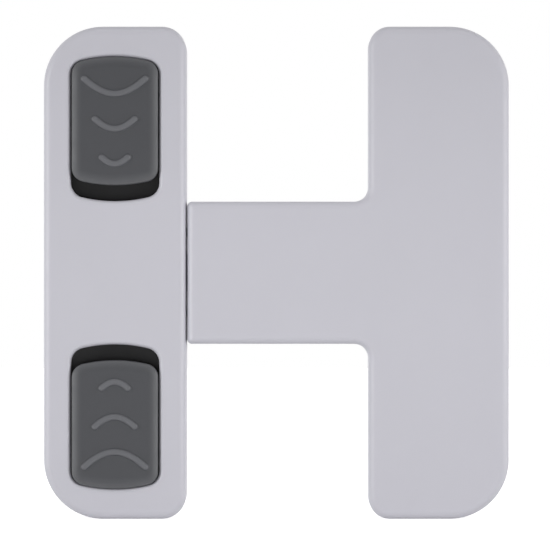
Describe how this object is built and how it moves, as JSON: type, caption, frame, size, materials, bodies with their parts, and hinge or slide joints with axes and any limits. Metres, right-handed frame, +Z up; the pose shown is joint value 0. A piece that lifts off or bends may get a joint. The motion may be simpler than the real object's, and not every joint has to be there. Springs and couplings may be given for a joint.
{
  "type": "cabinet safety lock",
  "caption": "Adhesive child lock for cabinet doors: a latch bar with sprung slide buttons, and a sliding T-shaped catch whose hooked arms snap into it.",
  "frame": {"origin": "middle of the latch bar, on the door face that its foam tape sticks to", "axes": "+Z up the door along the bars, +X from the latch bar to the catch bar, +Y into the door, so the buttons face -Y"},
  "size_m": [0.085, 0.0162, 0.09],
  "materials": {
    "shell_plastic": "satin moulded ABS, cool light grey",
    "button_plastic": "fine matt moulded ABS, dark grey",
    "slider_plastic": "moulded acetal, near black",
    "arm_plastic": "moulded acetal, natural white",
    "spring_steel": "drawn spring wire",
    "screw_steel": "zinc plated",
    "foam_tape": "closed-cell acrylic foam tape, light grey"
  },
  "bodies": {
    "latch": {"latch_cover": "shell_plastic", "latch_base": "shell_plastic", "upper_latch_screw": "screw_steel", "lower_latch_screw": "screw_steel", "latch_pad": "foam_tape", "upper_spring": "spring_steel", "lower_spring": "spring_steel", "rail_plate": "shell_plastic", "rail_pad": "foam_tape"},
    "upper_button": {"upper_button": "button_plastic", "upper_slider": "slider_plastic"},
    "lower_button": {"lower_button": "button_plastic", "lower_slider": "slider_plastic"},
    "catch": {"catch_cover": "shell_plastic", "catch_base": "shell_plastic", "upper_bridge_screw": "screw_steel", "lower_bridge_screw": "screw_steel", "upper_bar_screw": "screw_steel", "middle_bar_screw": "screw_steel", "lower_bar_screw": "screw_steel", "upper_latch_arm": "arm_plastic", "lower_latch_arm": "arm_plastic"}
  },
  "joints": [
    {"name": "upper_button_slide", "type": "slide", "parent": "latch", "child": "upper_button", "axis": [0, 0, -1], "range_m": [0, 0.0028], "stiffness_N_per_m": 350, "springref_m": -0.004, "deforming": ["upper_spring", "upper_latch_arm"]},
    {"name": "lower_button_slide", "type": "slide", "parent": "latch", "child": "lower_button", "axis": [0, 0, 1], "range_m": [0, 0.0028], "stiffness_N_per_m": 350, "springref_m": -0.004, "deforming": ["lower_spring", "lower_latch_arm"]},
    {"name": "catch_slide", "type": "slide", "parent": "latch", "child": "catch", "axis": [1, 0, 0], "range_m": [0, 0.011]}
  ]
}
